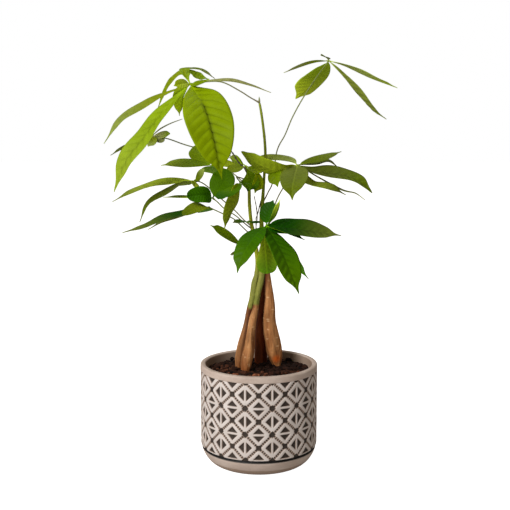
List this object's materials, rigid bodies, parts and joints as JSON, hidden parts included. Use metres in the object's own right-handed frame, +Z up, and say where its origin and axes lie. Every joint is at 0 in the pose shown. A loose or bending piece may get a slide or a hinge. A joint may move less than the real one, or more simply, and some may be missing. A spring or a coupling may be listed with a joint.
{
  "type": "potted money tree",
  "caption": "Small indoor money tree with braided trunks and finger-shaped compound leaves, standing in soil in a round ceramic pot carved with a diamond lattice.",
  "frame": {"origin": "the middle of the pot's flat base", "axes": "+Z up along the pot's axis, -Y towards the viewer of the picture, +X to the viewer's right"},
  "size_m": [0.2967, 0.1704, 0.4146],
  "materials": {
    "ceramic": "matt, sand-coloured, with dark brown carved lines and pale raised bands",
    "earth": "dark crumbly potting mix",
    "bark": "dry brown bark, lightly ridged, green and smooth on the thin upper stems",
    "foliage": "satin green leaves with pale veins"
  },
  "bodies": {
    "root": {"pot": "ceramic", "soil": "earth", "stem_right": "bark", "stem_front": "bark", "stem_left": "bark", "stem_back": "bark", "leaf_top_left": "foliage", "leaf_top_right": "foliage", "leaf_right": "foliage", "leaf_centre": "foliage", "leaf_back": "foliage", "leaf_hanging": "foliage", "leaf_left_upper": "foliage", "leaf_left_middle": "foliage", "leaf_left_lower": "foliage", "leaf_far_left": "foliage", "leaf_front": "foliage", "leaf_low_left": "foliage", "leaf_young": "foliage"}
  },
  "joints": []
}
